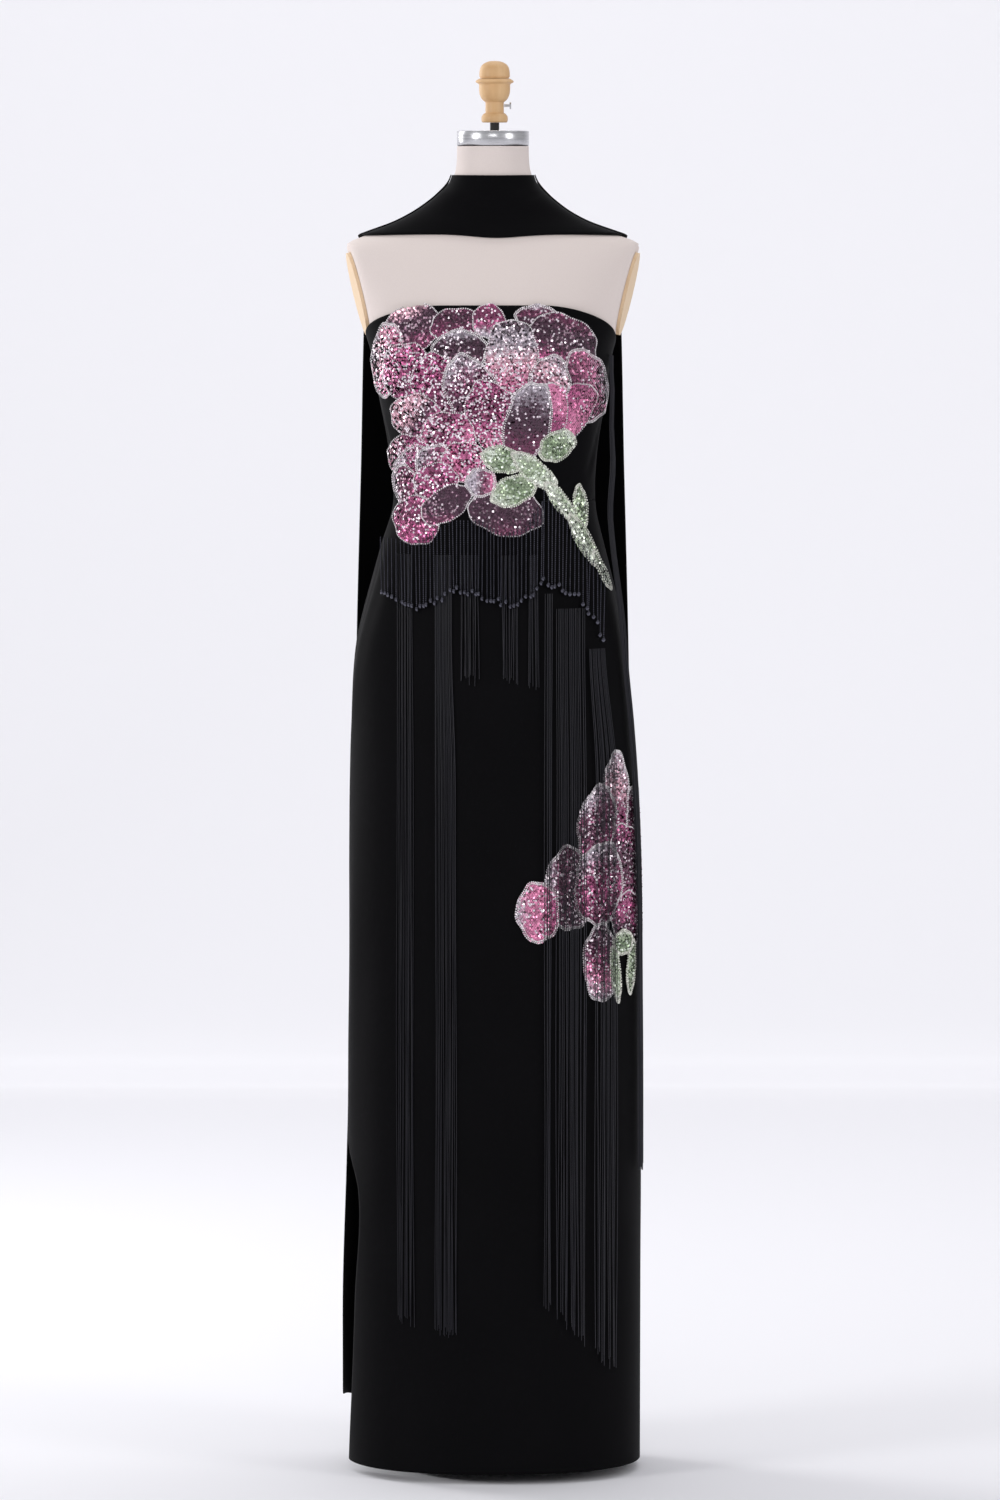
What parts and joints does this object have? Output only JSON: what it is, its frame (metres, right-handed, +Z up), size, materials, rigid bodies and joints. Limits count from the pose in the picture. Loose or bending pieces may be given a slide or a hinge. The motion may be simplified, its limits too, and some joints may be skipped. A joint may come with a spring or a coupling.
{
  "type": "sequin evening gown on a dress form",
  "caption": "Strapless full-length evening gown with sequin flowers, bead and thread fringe and a matching neck scarf, on a limbless dress form with a stand.",
  "frame": {"origin": "centre of the stand's round base, on the floor", "axes": "+Z up, -Y the gown's front, +X the wearer's left"},
  "size_m": [0.3623, 0.2843, 1.6813],
  "materials": {
    "crepe": "matte",
    "scarf_crepe": "matte",
    "sequins": "gloss",
    "green_beads": "gloss",
    "jet_beads": "gloss",
    "thread": "satin",
    "jersey": "matte",
    "wood": "satin",
    "steel": "satin",
    "black_metal": "satin"
  },
  "bodies": {
    "root": {"bodice_front": "crepe", "bodice_back_left": "crepe", "bodice_back_right": "crepe", "skirt_front": "crepe", "skirt_back_left": "crepe", "skirt_back_right": "crepe", "scarf_throat": "scarf_crepe", "scarf_end_left": "scarf_crepe", "scarf_end_right": "scarf_crepe", "flower_bodice": "sequins", "leaves_bodice": "green_beads", "flower_skirt": "sequins", "leaves_skirt": "green_beads", "bead_fringe_flower": "jet_beads", "bead_fringe_stem": "jet_beads", "thread_fringe_a": "thread", "thread_fringe_b": "thread", "thread_fringe_c": "thread", "thread_fringe_d": "thread", "thread_fringe_e": "thread", "thread_fringe_f": "thread", "thread_fringe_g": "thread", "thread_fringe_h": "thread", "thread_fringe_side": "thread", "form_torso": "jersey", "form_arm_plate_left": "wood", "form_arm_plate_right": "wood", "form_neck_cap": "steel", "form_rod": "black_metal", "form_finial": "wood", "form_finial_screw": "steel", "form_pole": "steel", "form_base": "black_metal"}
  },
  "joints": []
}
